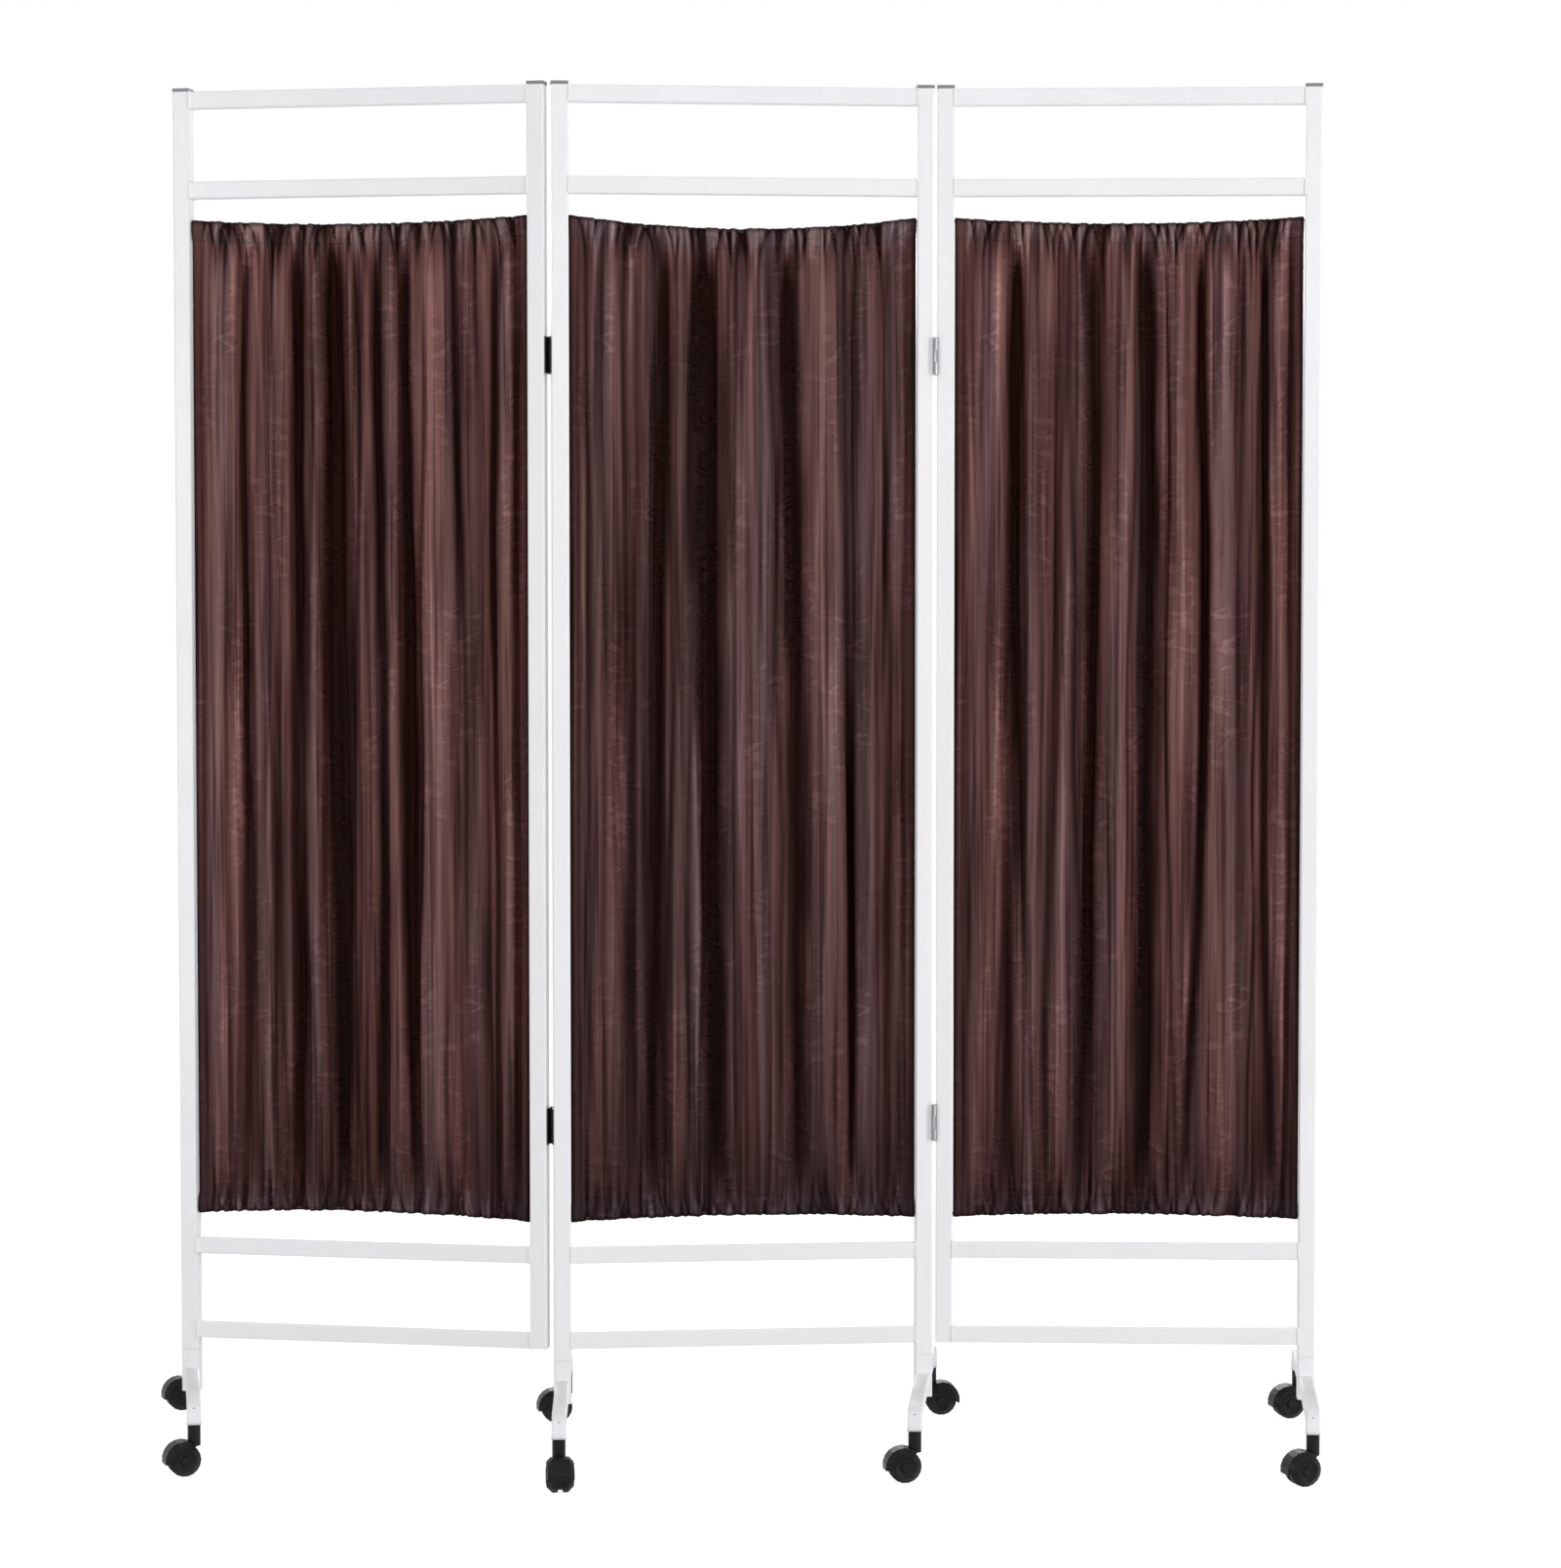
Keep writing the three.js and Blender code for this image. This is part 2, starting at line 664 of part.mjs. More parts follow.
// Panel: uprights with caps, four rails, curtain and cord, round the middle of its width
function makePanel(panel) {
  const group = new THREE.Group();
  for (const upright of panel.uprights) {
    const low = upright.hasFoot ? hubTop + seatGap : bottomRailUnderside;
    const tube = makeMesh(`${panel.name}_${upright.name}_upright`,
      uprightGeometry(low, -upright.side), paintWhite);
    tube.position.x = upright.side * uprightAcross;
    const cap = makeMesh(`${panel.name}_${upright.name}_cap`, capGeometry(), capGrey);
    cap.position.set(upright.side * uprightAcross, 0, frameTop);
    group.add(tube, cap);
  }
  const railTops = { top: frameTop, second: secondRailTop, lower: lowerRailTop, bottom: bottomRailTop };
  for (const [place, top] of Object.entries(railTops)) {
    const rail = makeMesh(`${panel.name}_${place}_rail`, railGeometry(), paintWhite);
    rail.position.z = top - tubeSize / 2;
    group.add(rail);
  }
  group.add(makeMesh(`${panel.name}_curtain`,
    curtainGeometry(panel.topSag, panel.bottomRise, panel.foldPhase), clothBrown));
  group.add(makeMesh(`${panel.name}_curtain_cord`, cordGeometry(panel.topSag, panel.bottomRise), cordWhite));
  return group;
}

// Foot with its two casters, under the upright on the given side of its panel
function makeFoot(foot) {
  const group = new THREE.Group();
  group.position.x = foot.side * uprightAcross;
  group.add(makeMesh(`${foot.name}_foot`, footGeometry(foot.yaw), paintWhite));
  const [frontHeading, rearHeading] = foot.headings;
  for (const [place, direction, heading] of [["front", -1, frontHeading], ["rear", 1, rearHeading]]) {
    const caster = new THREE.Group();
    caster.position.copy(legEnd(foot.yaw, direction));
    caster.rotation.z = radians(heading);
    caster.add(makeMesh(`${foot.name}_${place}_caster_housing`, casterHousingGeometry(), housingBlack));
    const wheels = makeMesh(`${foot.name}_${place}_caster_wheels`, wheelPairGeometry(), wheelBlack);
    wheels.position.set(trail, 0, wheelDiameter / 2);
    caster.add(wheels);
    group.add(caster);
  }
  return group;
}

// Upper and lower hinge leaves of one kind on a fold line
function makeLeaves(line, kind, makeGeometry, material) {
  const group = new THREE.Group();
  for (const [place, height] of [["upper", upperHingeHeight], ["lower", lowerHingeHeight]]) {
    const leaf = makeMesh(`${line}_${place}_hinge_${kind}_leaf`, makeGeometry(), material);
    leaf.position.z = height;
    group.add(leaf);
  }
  return group;
}

// Middle panel, with the fixed leaves of both fold lines
const middle = makePanel({
  name: "middle_panel", topSag: middleTopSag, bottomRise: middleBottomRise, foldPhase: middleFoldPhase,
  uprights: [{ name: "left", side: -1, hasFoot: true }, { name: "right", side: 1, hasFoot: true }],
});
middle.add(makeFoot({
  name: "middle_left", side: -1, yaw: middleLeftFootYaw, headings: middleLeftFootHeadings,
}));
middle.add(makeFoot({
  name: "middle_right", side: 1, yaw: middleRightFootYaw, headings: middleRightFootHeadings,
}));
const leftFoldLine = new THREE.Vector3(-pinAcross, pinOffset, 0);
const rightFoldLine = new THREE.Vector3(pinAcross, -pinOffset, 0);
const leftFixedLeaves = makeLeaves("left", "fixed", fixedLeafGeometry, hingeBlack);
leftFixedLeaves.position.copy(leftFoldLine);
const rightFixedLeaves = makeLeaves("right", "fixed", fixedLeafGeometry, hingeZinc);
rightFixedLeaves.position.copy(rightFoldLine);
rightFixedLeaves.rotation.z = Math.PI;
middle.add(leftFixedLeaves, rightFixedLeaves);

// Left panel, turned back about the pins behind its inner upright
const left = new THREE.Group();
left.position.copy(leftFoldLine);
left.rotation.z = -radians(leftFoldAngle);
const leftFrame = makePanel({
  name: "left_panel", topSag: leftTopSag, bottomRise: leftBottomRise, foldPhase: leftFoldPhase,
  uprights: [{ name: "outer", side: -1, hasFoot: true }, { name: "inner", side: 1, hasFoot: false }],
});
leftFrame.add(makeFoot({
  name: "left_outer", side: -1, yaw: leftFootYaw, headings: leftFootHeadings,
}));
leftFrame.position.set(-pinAcross, -pinOffset, 0);
left.add(leftFrame, makeLeaves("left", "moving", movingLeafGeometry, hingeBlack));

// Right panel, turned forward about the pins before its inner upright
const right = new THREE.Group();
right.position.copy(rightFoldLine);
right.rotation.z = -radians(rightFoldAngle);
const rightFrame = makePanel({
  name: "right_panel", topSag: rightTopSag, bottomRise: rightBottomRise, foldPhase: rightFoldPhase,
  uprights: [{ name: "inner", side: -1, hasFoot: false }, { name: "outer", side: 1, hasFoot: true }],
});
rightFrame.add(makeFoot({
  name: "right_outer", side: 1, yaw: rightFootYaw, headings: rightFootHeadings,
}));
rightFrame.position.set(pinAcross, pinOffset, 0);
const rightMovingLeaves = makeLeaves("right", "moving", movingLeafGeometry, hingeZinc);
rightMovingLeaves.rotation.z = Math.PI;
right.add(rightFrame, rightMovingLeaves);

// The whole screen stands on the floor, centred over the origin
const screen = new THREE.Group();
screen.add(middle, left, right);
const bounds = new THREE.Box3().setFromObject(screen, true);
screen.position.set(
  -(bounds.min.x + bounds.max.x) / 2, -(bounds.min.y + bounds.max.y) / 2, -bounds.min.z,
);

export default screen;
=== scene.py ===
"""Ward privacy screen on wheels: three hinged panels of white square tube with brown curtains."""
import math
from types import SimpleNamespace

import bpy
import numpy as np
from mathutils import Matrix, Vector


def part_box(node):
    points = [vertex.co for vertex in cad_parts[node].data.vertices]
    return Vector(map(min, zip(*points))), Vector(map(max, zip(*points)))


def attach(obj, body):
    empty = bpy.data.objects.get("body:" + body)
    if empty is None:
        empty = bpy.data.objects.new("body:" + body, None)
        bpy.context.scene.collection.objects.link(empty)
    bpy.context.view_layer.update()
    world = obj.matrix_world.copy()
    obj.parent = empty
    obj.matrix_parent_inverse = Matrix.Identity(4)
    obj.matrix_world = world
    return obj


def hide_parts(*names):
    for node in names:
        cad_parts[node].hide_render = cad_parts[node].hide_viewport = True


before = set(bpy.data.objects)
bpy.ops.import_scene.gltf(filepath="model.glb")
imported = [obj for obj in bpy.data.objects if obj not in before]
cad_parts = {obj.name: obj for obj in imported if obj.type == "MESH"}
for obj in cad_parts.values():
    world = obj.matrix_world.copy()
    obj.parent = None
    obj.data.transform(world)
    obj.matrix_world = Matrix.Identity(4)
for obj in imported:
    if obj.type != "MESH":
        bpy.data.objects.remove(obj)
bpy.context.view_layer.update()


# Camera: it stands about 5.4 m in front of the screen, left of its middle and a little over a
# metre up, turned slightly to the right and looking slightly down, as the photograph's did.
photo_width, photo_height = 1601, 1608
focal_length_in_pixels = 4250
sensor_width = 36
camera_from_middle_panel = Vector((-0.5068, -5.370, 1.152))
camera_turn = math.radians(5.907)
camera_dip = math.radians(2.93)

rail_low, rail_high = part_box("middle_panel_top_rail")
middle_panel_place = Vector(((rail_low.x + rail_high.x) / 2, (rail_low.y + rail_high.y) / 2, 0))
lens = bpy.data.cameras.new("photo_camera")
lens.sensor_width = sensor_width
lens.lens = focal_length_in_pixels * sensor_width / max(photo_width, photo_height)
lens.clip_start, lens.clip_end = 0.1, 100
camera = bpy.data.objects.new("photo_camera", lens)
bpy.context.scene.collection.objects.link(camera)
camera.location = middle_panel_place + camera_from_middle_panel
camera.rotation_euler = (math.radians(90) - camera_dip, 0, -camera_turn)
bpy.context.scene.camera = camera


# Frame tubes: uprights and rails of 22 mm square steel tube, welded together and powder coated
# white. The coat has a faint orange peel and is a little thinner and greyer in patches.
paint_tones = ((0.89, 0.89, 0.91, 1), (0.83, 0.83, 0.855, 1))
orange_peel_scale = 900
paint_patch_scale = 7
orange_peel_depth = 0.00004
tube_paint_roughness = (0.34, 0.46)
grain_strength = 0.6
panel_names = ("left_panel", "middle_panel", "right_panel")
upright_names = {
    "left_panel": ("outer", "inner"),
    "middle_panel": ("left", "right"),
    "right_panel": ("inner", "outer"),
}
rail_names = ("top", "second", "lower", "bottom")


def make_skin_group():
    """Shared surface effect: a fine grain for the bump and slow patches for colour and gloss."""
    effects = (("Grain Scale", "Grain", 2), ("Patch Scale", "Patches", 4))
    group = bpy.data.node_groups.new("skin_grain", "ShaderNodeTree")
    for scale_name, effect, _ in effects:
        group.interface.new_socket(scale_name, in_out="INPUT", socket_type="NodeSocketFloat")
        group.interface.new_socket(effect, in_out="OUTPUT", socket_type="NodeSocketFloat")
    nodes, links = group.nodes, group.links
    entry, result = nodes.new("NodeGroupInput"), nodes.new("NodeGroupOutput")
    place = nodes.new("ShaderNodeTexCoord")
    for scale_name, effect, detail in effects:
        noise = nodes.new("ShaderNodeTexNoise")
        noise.inputs["Detail"].default_value = detail
        links.new(place.outputs["Object"], noise.inputs["Vector"])
        links.new(entry.outputs[scale_name], noise.inputs["Scale"])
        links.new(noise.outputs["Fac"], result.inputs[effect])
    return group


skin_grain = make_skin_group()


def new_material(name, plain):
    """A node material whose Principled shader has the given plain socket values."""
    material = bpy.data.materials.new(name)
    material.use_nodes = True
    nodes, links = material.node_tree.nodes, material.node_tree.links
    shader = nodes["Principled BSDF"]
    for socket, value in plain:
        shader.inputs[socket].default_value = value
    return material, nodes, links, shader


def make_finish(name, tones, scales, depth, roughness, plain=()):
    """A finish with the shared grain. Its patches go from the first tone and roughness to the
    second, and its grain is the bump. The scales are the grain's and the patches'."""
    material, nodes, links, shader = new_material(name, plain)
    skin = nodes.new("ShaderNodeGroup")
    skin.node_tree = skin_grain
    skin.inputs["Grain Scale"].default_value, skin.inputs["Patch Scale"].default_value = scales
    tone = nodes.new("ShaderNodeMix")
    tone.data_type = "RGBA"
    tone.inputs["A"].default_value, tone.inputs["B"].default_value = tones
    gloss = nodes.new("ShaderNodeMapRange")
    gloss.inputs["To Min"].default_value, gloss.inputs["To Max"].default_value = roughness
    bump = nodes.new("ShaderNodeBump")
    bump.inputs["Strength"].default_value = grain_strength
    bump.inputs["Distance"].default_value = depth
    links.new(skin.outputs["Patches"], tone.inputs["Factor"])
    links.new(skin.outputs["Patches"], gloss.inputs["Value"])
    links.new(skin.outputs["Grain"], bump.inputs["Height"])
    links.new(tone.outputs["Result"], shader.inputs["Base Color"])
    links.new(gloss.outputs["Result"], shader.inputs["Roughness"])
    links.new(bump.outputs["Normal"], shader.inputs["Normal"])
    return material


def finish_node(node, material):
    """Gives a CAD node its finish."""
    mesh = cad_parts[node].data
    mesh.materials.clear()
    mesh.materials.append(material)


white_paint = make_finish(
    "white_powder_coat", tones=paint_tones, scales=(orange_peel_scale, paint_patch_scale),
    depth=orange_peel_depth, roughness=tube_paint_roughness,
    plain=(("Coat Weight", 0.15), ("Coat Roughness", 0.2)))
for panel in panel_names:
    for upright in upright_names[panel]:
        finish_node(f"{panel}_{upright}_upright", white_paint)
    for rail in rail_names:
        finish_node(f"{panel}_{rail}_rail", white_paint)


# Weld beads: each rail end is welded to its upright all round, and the bead is painted over with
# the tubes. One rounded ring of bead is repeated at all eight rail ends of a panel.
tube_size = 0.022
bead_sizes = {"Tube Size": tube_size, "Bead Radius": 0.0013, "Corner": 0.002}
bead_corner_points = 3
bead_section_sides = 8
quarter_turn = math.radians(90)


def box_centre(node):
    low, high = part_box(node)
    return (low + high) / 2


def panel_axes(panel):
    """Middle of the panel on the floor, and unit vectors along it and out of its rear face."""
    first, second = (box_centre(f"{panel}_{upright}_upright") for upright in upright_names[panel])
    along = (second - first).to_2d().normalized()
    middle = (first + second) / 2
    return Vector((middle.x, middle.y, 0)), Vector((*along, 0)), Vector((-along.y, along.x, 0))


def link_piece(name, mesh):
    piece = bpy.data.objects.new(name, mesh)
    bpy.context.scene.collection.objects.link(piece)
    return piece


def node_inputs(tree, sizes):
    """Named size inputs of a geometry tree, with their identifiers."""
    tree.interface.new_socket("Geometry", in_out="INPUT", socket_type="NodeSocketGeometry")
    found = {}
    for name, value in sizes.items():
        socket = tree.interface.new_socket(name, in_out="INPUT", socket_type="NodeSocketFloat")
        socket.default_value = value
        found[name] = socket.identifier
    tree.interface.new_socket("Geometry", in_out="OUTPUT", socket_type="NodeSocketGeometry")
    return found


def bake_tree(piece, tree, identifiers, sizes):
    """Runs a geometry tree on a piece, keeps its result as a plain mesh and drops the modifier."""
    modifier = piece.modifiers.new("make", "NODES")
    modifier.node_group = tree
    for name, value in sizes.items():
        modifier[identifiers[name]] = value
    graph = bpy.context.evaluated_depsgraph_get()
    made = bpy.data.meshes.new_from_object(piece.evaluated_get(graph), depsgraph=graph)
    piece.modifiers.clear()
    piece.data = made


def make_bead_tree(material):
    """Sweeps a round bead along a square with small corners, one at each point of the input."""
    tree = bpy.data.node_groups.new("weld_beads", "GeometryNodeTree")
    identifiers = node_inputs(tree, bead_sizes)
    nodes, links = tree.nodes, tree.links
    entry, result = nodes.new("NodeGroupInput"), nodes.new("NodeGroupOutput")
    square = nodes.new("GeometryNodeCurvePrimitiveQuadrilateral")
    corners = nodes.new("GeometryNodeFilletCurve")
    corners.mode = "POLY"
    corners.inputs["Count"].default_value = bead_corner_points
    section = nodes.new("GeometryNodeCurvePrimitiveCircle")
    section.inputs["Resolution"].default_value = bead_section_sides
    sweep = nodes.new("GeometryNodeCurveToMesh")
    smooth = nodes.new("GeometryNodeSetShadeSmooth")
    copies = nodes.new("GeometryNodeInstanceOnPoints")
    turn = nodes.new("GeometryNodeInputNamedAttribute")
    turn.data_type = "FLOAT_VECTOR"
    turn.inputs["Name"].default_value = "turn"
    real = nodes.new("GeometryNodeRealizeInstances")
    finish = nodes.new("GeometryNodeSetMaterial")
    finish.inputs["Material"].default_value = material
    links.new(entry.outputs["Tube Size"], square.inputs["Width"])
    links.new(entry.outputs["Tube Size"], square.inputs["Height"])
    links.new(square.outputs["Curve"], corners.inputs["Curve"])
    links.new(entry.outputs["Corner"], corners.inputs["Radius"])
    links.new(entry.outputs["Bead Radius"], section.inputs["Radius"])
    links.new(corners.outputs["Curve"], sweep.inputs["Curve"])
    links.new(section.outputs["Curve"], sweep.inputs["Profile Curve"])
    links.new(sweep.outputs["Mesh"], smooth.inputs["Geometry"])
    links.new(entry.outputs["Geometry"], copies.inputs["Points"])
    links.new(smooth.outputs["Geometry"], copies.inputs["Instance"])
    links.new(turn.outputs["Attribute"], copies.inputs["Rotation"])
    links.new(copies.outputs["Instances"], real.inputs["Geometry"])
    links.new(real.outputs["Geometry"], finish.inputs["Geometry"])
    links.new(finish.outputs["Geometry"], result.inputs["Geometry"])
    return tree, identifiers


bead_tree, bead_inputs = make_bead_tree(white_paint)


def lay_beads(panel):
    """All weld rings of a panel as one piece: a ring at each end of each rail."""
    middle, along, _ = panel_axes(panel)
    heading = math.atan2(along.y, along.x)
    points = []
    for rail in rail_names:
        height = box_centre(f"{panel}_{rail}_rail").z
        for side, upright_name in zip((-1, 1), upright_names[panel]):
            upright = box_centre(f"{panel}_{upright_name}_upright")
            half_span = (Vector((upright.x, upright.y, 0)) - middle).length - tube_size / 2
            point = middle + along * side * half_span
            points.append((point.x, point.y, height))
    name = f"{panel}_weld_beads"
    mesh = bpy.data.meshes.new(name)
    mesh.from_pydata(points, [], [])
    turns = mesh.attributes.new("turn", "FLOAT_VECTOR", "POINT")
    for turn in turns.data:
        turn.vector = (quarter_turn, 0, heading + quarter_turn)
    beads = link_piece(name, mesh)
    bake_tree(beads, bead_tree, bead_inputs, bead_sizes)
    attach(beads, panel)


for panel in panel_names:
    lay_beads(panel)


# Feet: each is a short hub with two bent legs welded to it and a plastic caster socket in each
# leg end. The steel is painted as the frame is, and the socket's rim shows as a thin grey ring.
foot_names = ("left_outer", "middle_left", "middle_right", "right_outer")
foot_paint_roughness = (0.34, 0.48)
socket_grey = (0.62, 0.63, 0.65, 1)
socket_rim_top = 0.0676


def add_socket_grey(material):
    """Below the tops of the sockets' rims the foot's paint gives way to the sockets' grey."""
    nodes, links = material.node_tree.nodes, material.node_tree.links
    base_colour = nodes["Principled BSDF"].inputs["Base Color"]
    paint_colour = base_colour.links[0].from_socket
    place = nodes.new("ShaderNodeTexCoord")
    split = nodes.new("ShaderNodeSeparateXYZ")
    is_socket = nodes.new("ShaderNodeMath")
    is_socket.operation = "LESS_THAN"
    is_socket.inputs[1].default_value = socket_rim_top
    two_parts = nodes.new("ShaderNodeMix")
    two_parts.data_type = "RGBA"
    two_parts.inputs["B"].default_value = socket_grey
    links.new(place.outputs["Object"], split.inputs["Vector"])
    links.new(split.outputs["Z"], is_socket.inputs[0])
    links.new(is_socket.outputs["Value"], two_parts.inputs["Factor"])
    links.new(paint_colour, two_parts.inputs["A"])
    links.new(two_parts.outputs["Result"], base_colour)


foot_paint = make_finish(
    "foot_paint_and_socket", tones=paint_tones, scales=(orange_peel_scale, paint_patch_scale),
    depth=orange_peel_depth, roughness=foot_paint_roughness)
add_socket_grey(foot_paint)
for foot in foot_names:
    finish_node(f"{foot}_foot", foot_paint)


# Upright caps: a thin plate of grey plastic with a hollow plug below it, pressed into the top of
# each upright. Its moulded face is matt and a little uneven in colour.
cap_plastic = make_finish(
    "grey_cap_plastic", tones=((0.24, 0.25, 0.265, 1), (0.20, 0.21, 0.225, 1)),
    scales=(700, 30), depth=0.00005, roughness=(0.42, 0.55))
for panel in panel_names:
    for upright in upright_names[panel]:
        finish_node(f"{panel}_{upright}_cap", cap_plastic)


# Hinges: stamped leaves rolled round a riveted pin, two on each fold line. The left pair's colour
# is the deep shade of its fold's gap, painted on as near black, and the right pair is dull zinc
# plated.
left_hinge_painted_shade = make_finish(
    "hinge_with_painted_gap_shade", tones=((0.012, 0.012, 0.013, 1), (0.02, 0.02, 0.021, 1)),
    scales=(600, 60), depth=0.00003, roughness=(0.35, 0.5), plain=(("Metallic", 0.2),))
hinge_zinc = make_finish(
    "zinc_hinge_plate", tones=((0.33, 0.34, 0.35, 1), (0.24, 0.25, 0.26, 1)),
    scales=(400, 90), depth=0.00003, roughness=(0.3, 0.5), plain=(("Metallic", 0.9),))
for side, material in (("left", left_hinge_painted_shade), ("right", hinge_zinc)):
    for height in ("upper", "lower"):
        for leaf in ("fixed", "moving"):
            finish_node(f"{side}_{height}_hinge_{leaf}_leaf", material)


# Casters: two black nylon wheels on one axle under a moulded black hood, which turns on a steel
# stem in the leg's socket. The treads are duller and more uneven than the hood.
black_nylon_sheen = (("Specular IOR Level", 0.12),)
caster_black = make_finish(
    "caster_nylon", tones=((0.007, 0.007, 0.008, 1), (0.012, 0.012, 0.014, 1)),
    scales=(900, 40), depth=0.00006, roughness=(0.32, 0.48), plain=black_nylon_sheen)
wheel_black = make_finish(
    "wheel_nylon", tones=((0.008, 0.008, 0.009, 1), (0.016, 0.016, 0.017, 1)),
    scales=(500, 60), depth=0.00008, roughness=(0.4, 0.6), plain=black_nylon_sheen)
for foot in foot_names:
    for place in ("front", "rear"):
        finish_node(f"{foot}_{place}_caster_housing", caster_black)
        finish_node(f"{foot}_{place}_caster_wheels", wheel_black)


# Elastic cords: one dark cord with a braided cover runs in all four hems of each curtain, and its
# ferrules hold it in the bores of the uprights.
cord_braid = make_finish(
    "cord_braid", tones=((0.02, 0.012, 0.01, 1), (0.035, 0.022, 0.02, 1)),
    scales=(1500, 200), depth=0.0002, roughness=(0.7, 0.9))
for panel in panel_names:
    finish_node(f"{panel}_curtain_cord", cord_braid)


# Curtains: one piece of dark brown satin-weave polyester for each panel, about a sixth wider than
# its opening. Its edges are turned over a cord and stitched into casings, so the cloth gathers on
# the top and bottom cords and hangs between them in uneven vertical folds.
opening_half_width = 0.2265
curtain_half_width = 0.2255
curtain_width = 2 * curtain_half_width
curtain_top = 1.6116
curtain_bottom = 0.3046
usual_fall = 1.3
casing_height = 0.026
casing_half_depth = 0.0036
side_hem_width = 0.009
side_hem_half_depth = 0.0024
turned_half_gap = 0.0006
turned_bulge = 1.08
turned_rounding = 1.6
hem_blend = 0.012
stitch_pinch = 0.0005
stitch_pinch_reach = 0.0022
scallop_share = 0.14
scallop_reach = 0.006
cloth_thickness = 0.0005
cloth_columns = 318
body_rows = 112
deepest_fold = 0.0125
casing_fold = 0.0030
fold_share_in_casing = 0.05
# The main folds are shallower near the cords, and they wander, breathe and widen on their way
# down. A wander is a share of the width, and the others are shares of the fold itself.
end_flattening = 0.45
end_flattening_reach = 0.06
slow_wander, quick_wander = 0.003, 0.0012
depth_breath = 0.20
slow_widening, quick_widening = 0.12, 0.08
valley_sharpness, ridge_sharpness = 1.9, 1.6
# The small folds are drawn: a drawn size is its least value and how much more it may have.
fine_folds = 110
fine_fold_half_width = (0.0022, 0.0042)
fine_fold_depth = (0.0010, 0.0036)
fine_fold_lean = 0.06
fine_fold_wander = 0.005
fine_fold_ends = (-0.4, 1.8)
fine_fold_tapering = 0.05
gathers_on_a_cord = 96
gather_shift = 0.014
gather_half_width = (0.0013, 0.0021)
gather_depth = (0.0016, 0.0036)
gather_reach = (0.034, 0.075)
gather_slant = 2.4
gather_slant_reach = 0.07
drawn_ridge_height = 0.8
drawn_ridge_odds = (0.4, 0.6)
# Painted shade of the cloth where it lies flat, from a ridge's at 0 to a hollow's at 1, front and
# back; the back's is paler, as the back is less lit. Then the depth of a fold that has the darkest
# painted shade, at the edges and how much more further in.
front_painted_shade, back_painted_shade = 0.47, 0.37
casing_paleness = 0.05
darkest_fold_depth = (0.0045, 0.0085)
darkest_fold_reach = 0.08
bottom_softness, bottom_softness_share = 0.9, 0.22
farthest_measured = 0.2
# Painted tones from the ridges to the hollows, each with its place between them: a painted
# highlight on the ridges, painted shade down the slopes and nearly black painted shade in the
# hollows.
ridge_painted_highlight = (0.08, (0.225, 0.113, 0.100, 1))
slope_painted_shades = ((0.36, (0.108, 0.046, 0.041, 1)), (0.60, (0.040, 0.0145, 0.0130, 1)))
hollow_painted_shade = (0.86, (0.0105, 0.0024, 0.0014, 1))
weave_scale = 420
# A fold is its place across at the top, the middle and the bottom as a share of the width, then
# its half width and its depth in millimetres; a depth below zero is a ridge standing forward.
curtain_plans = {
    "left_panel": {
        "top_sag": 0.008, "bottom_rise": 0.008, "seed": 11, "greyed": 0.0,
        "folds": (
            (0.075, 0.075, 0.08, 20, -3), (0.165, 0.15, 0.16, 6, 5), (0.225, 0.22, 0.225, 8, -2.5),
            (0.31, 0.31, 0.31, 9, 10), (0.37, 0.36, 0.37, 5, -2), (0.42, 0.43, 0.44, 11, 12),
            (0.47, 0.49, 0.49, 4, -2), (0.54, 0.565, 0.56, 8, 7), (0.60, 0.61, 0.61, 4, -2),
            (0.635, 0.645, 0.655, 9, 11), (0.71, 0.715, 0.72, 16, -3), (0.79, 0.785, 0.80, 6, 4),
            (0.845, 0.85, 0.85, 8, -2), (0.90, 0.90, 0.91, 5, 6), (0.975, 0.97, 0.97, 6, 9),
        ),
    },
    "middle_panel": {
        "top_sag": 0.016, "bottom_rise": 0.006, "seed": 12, "greyed": 1.0,
        "folds": (
            (0.045, 0.05, 0.045, 6, 5), (0.13, 0.12, 0.12, 18, -2), (0.19, 0.185, 0.17, 5, 4),
            (0.275, 0.25, 0.225, 10, 9), (0.33, 0.31, 0.30, 6, -2), (0.38, 0.405, 0.415, 15, 12),
            (0.53, 0.55, 0.56, 14, -3), (0.47, 0.475, 0.48, 6, 2), (0.60, 0.59, 0.60, 5, 1.5),
            (0.63, 0.65, 0.66, 11, 11), (0.715, 0.74, 0.74, 9, -1), (0.79, 0.805, 0.825, 6, 5),
            (0.85, 0.85, 0.86, 6, -1), (0.90, 0.92, 0.925, 6, 6), (0.975, 0.975, 0.975, 6, 7),
        ),
    },
    "right_panel": {
        "top_sag": 0.008, "bottom_rise": 0.005, "seed": 13, "greyed": 0.15,
        "folds": (
            (0.025, 0.025, 0.03, 6, 6), (0.10, 0.09, 0.09, 15, -2), (0.185, 0.165, 0.155, 8, 9),
            (0.26, 0.25, 0.22, 9, -2.5), (0.335, 0.31, 0.265, 8, -2), (0.39, 0.395, 0.36, 9, 9),
            (0.49, 0.48, 0.45, 9, -3), (0.55, 0.56, 0.535, 10, 12), (0.63, 0.63, 0.60, 10, -2.5),
            (0.70, 0.72, 0.66, 7, 9), (0.79, 0.80, 0.77, 9, -2.5), (0.84, 0.85, 0.82, 5, -1),
            (0.895, 0.895, 0.915, 6, 7), (0.935, 0.935, 0.945, 7, -2), (0.975, 0.975, 0.975, 6, 9),
        ),
    },
}


def sagging_height(height, sag, across):
    """Height of a cord that leaves its bores at one height and sags towards the middle."""
    return height - sag * (1 - (across / opening_half_width) ** 2)


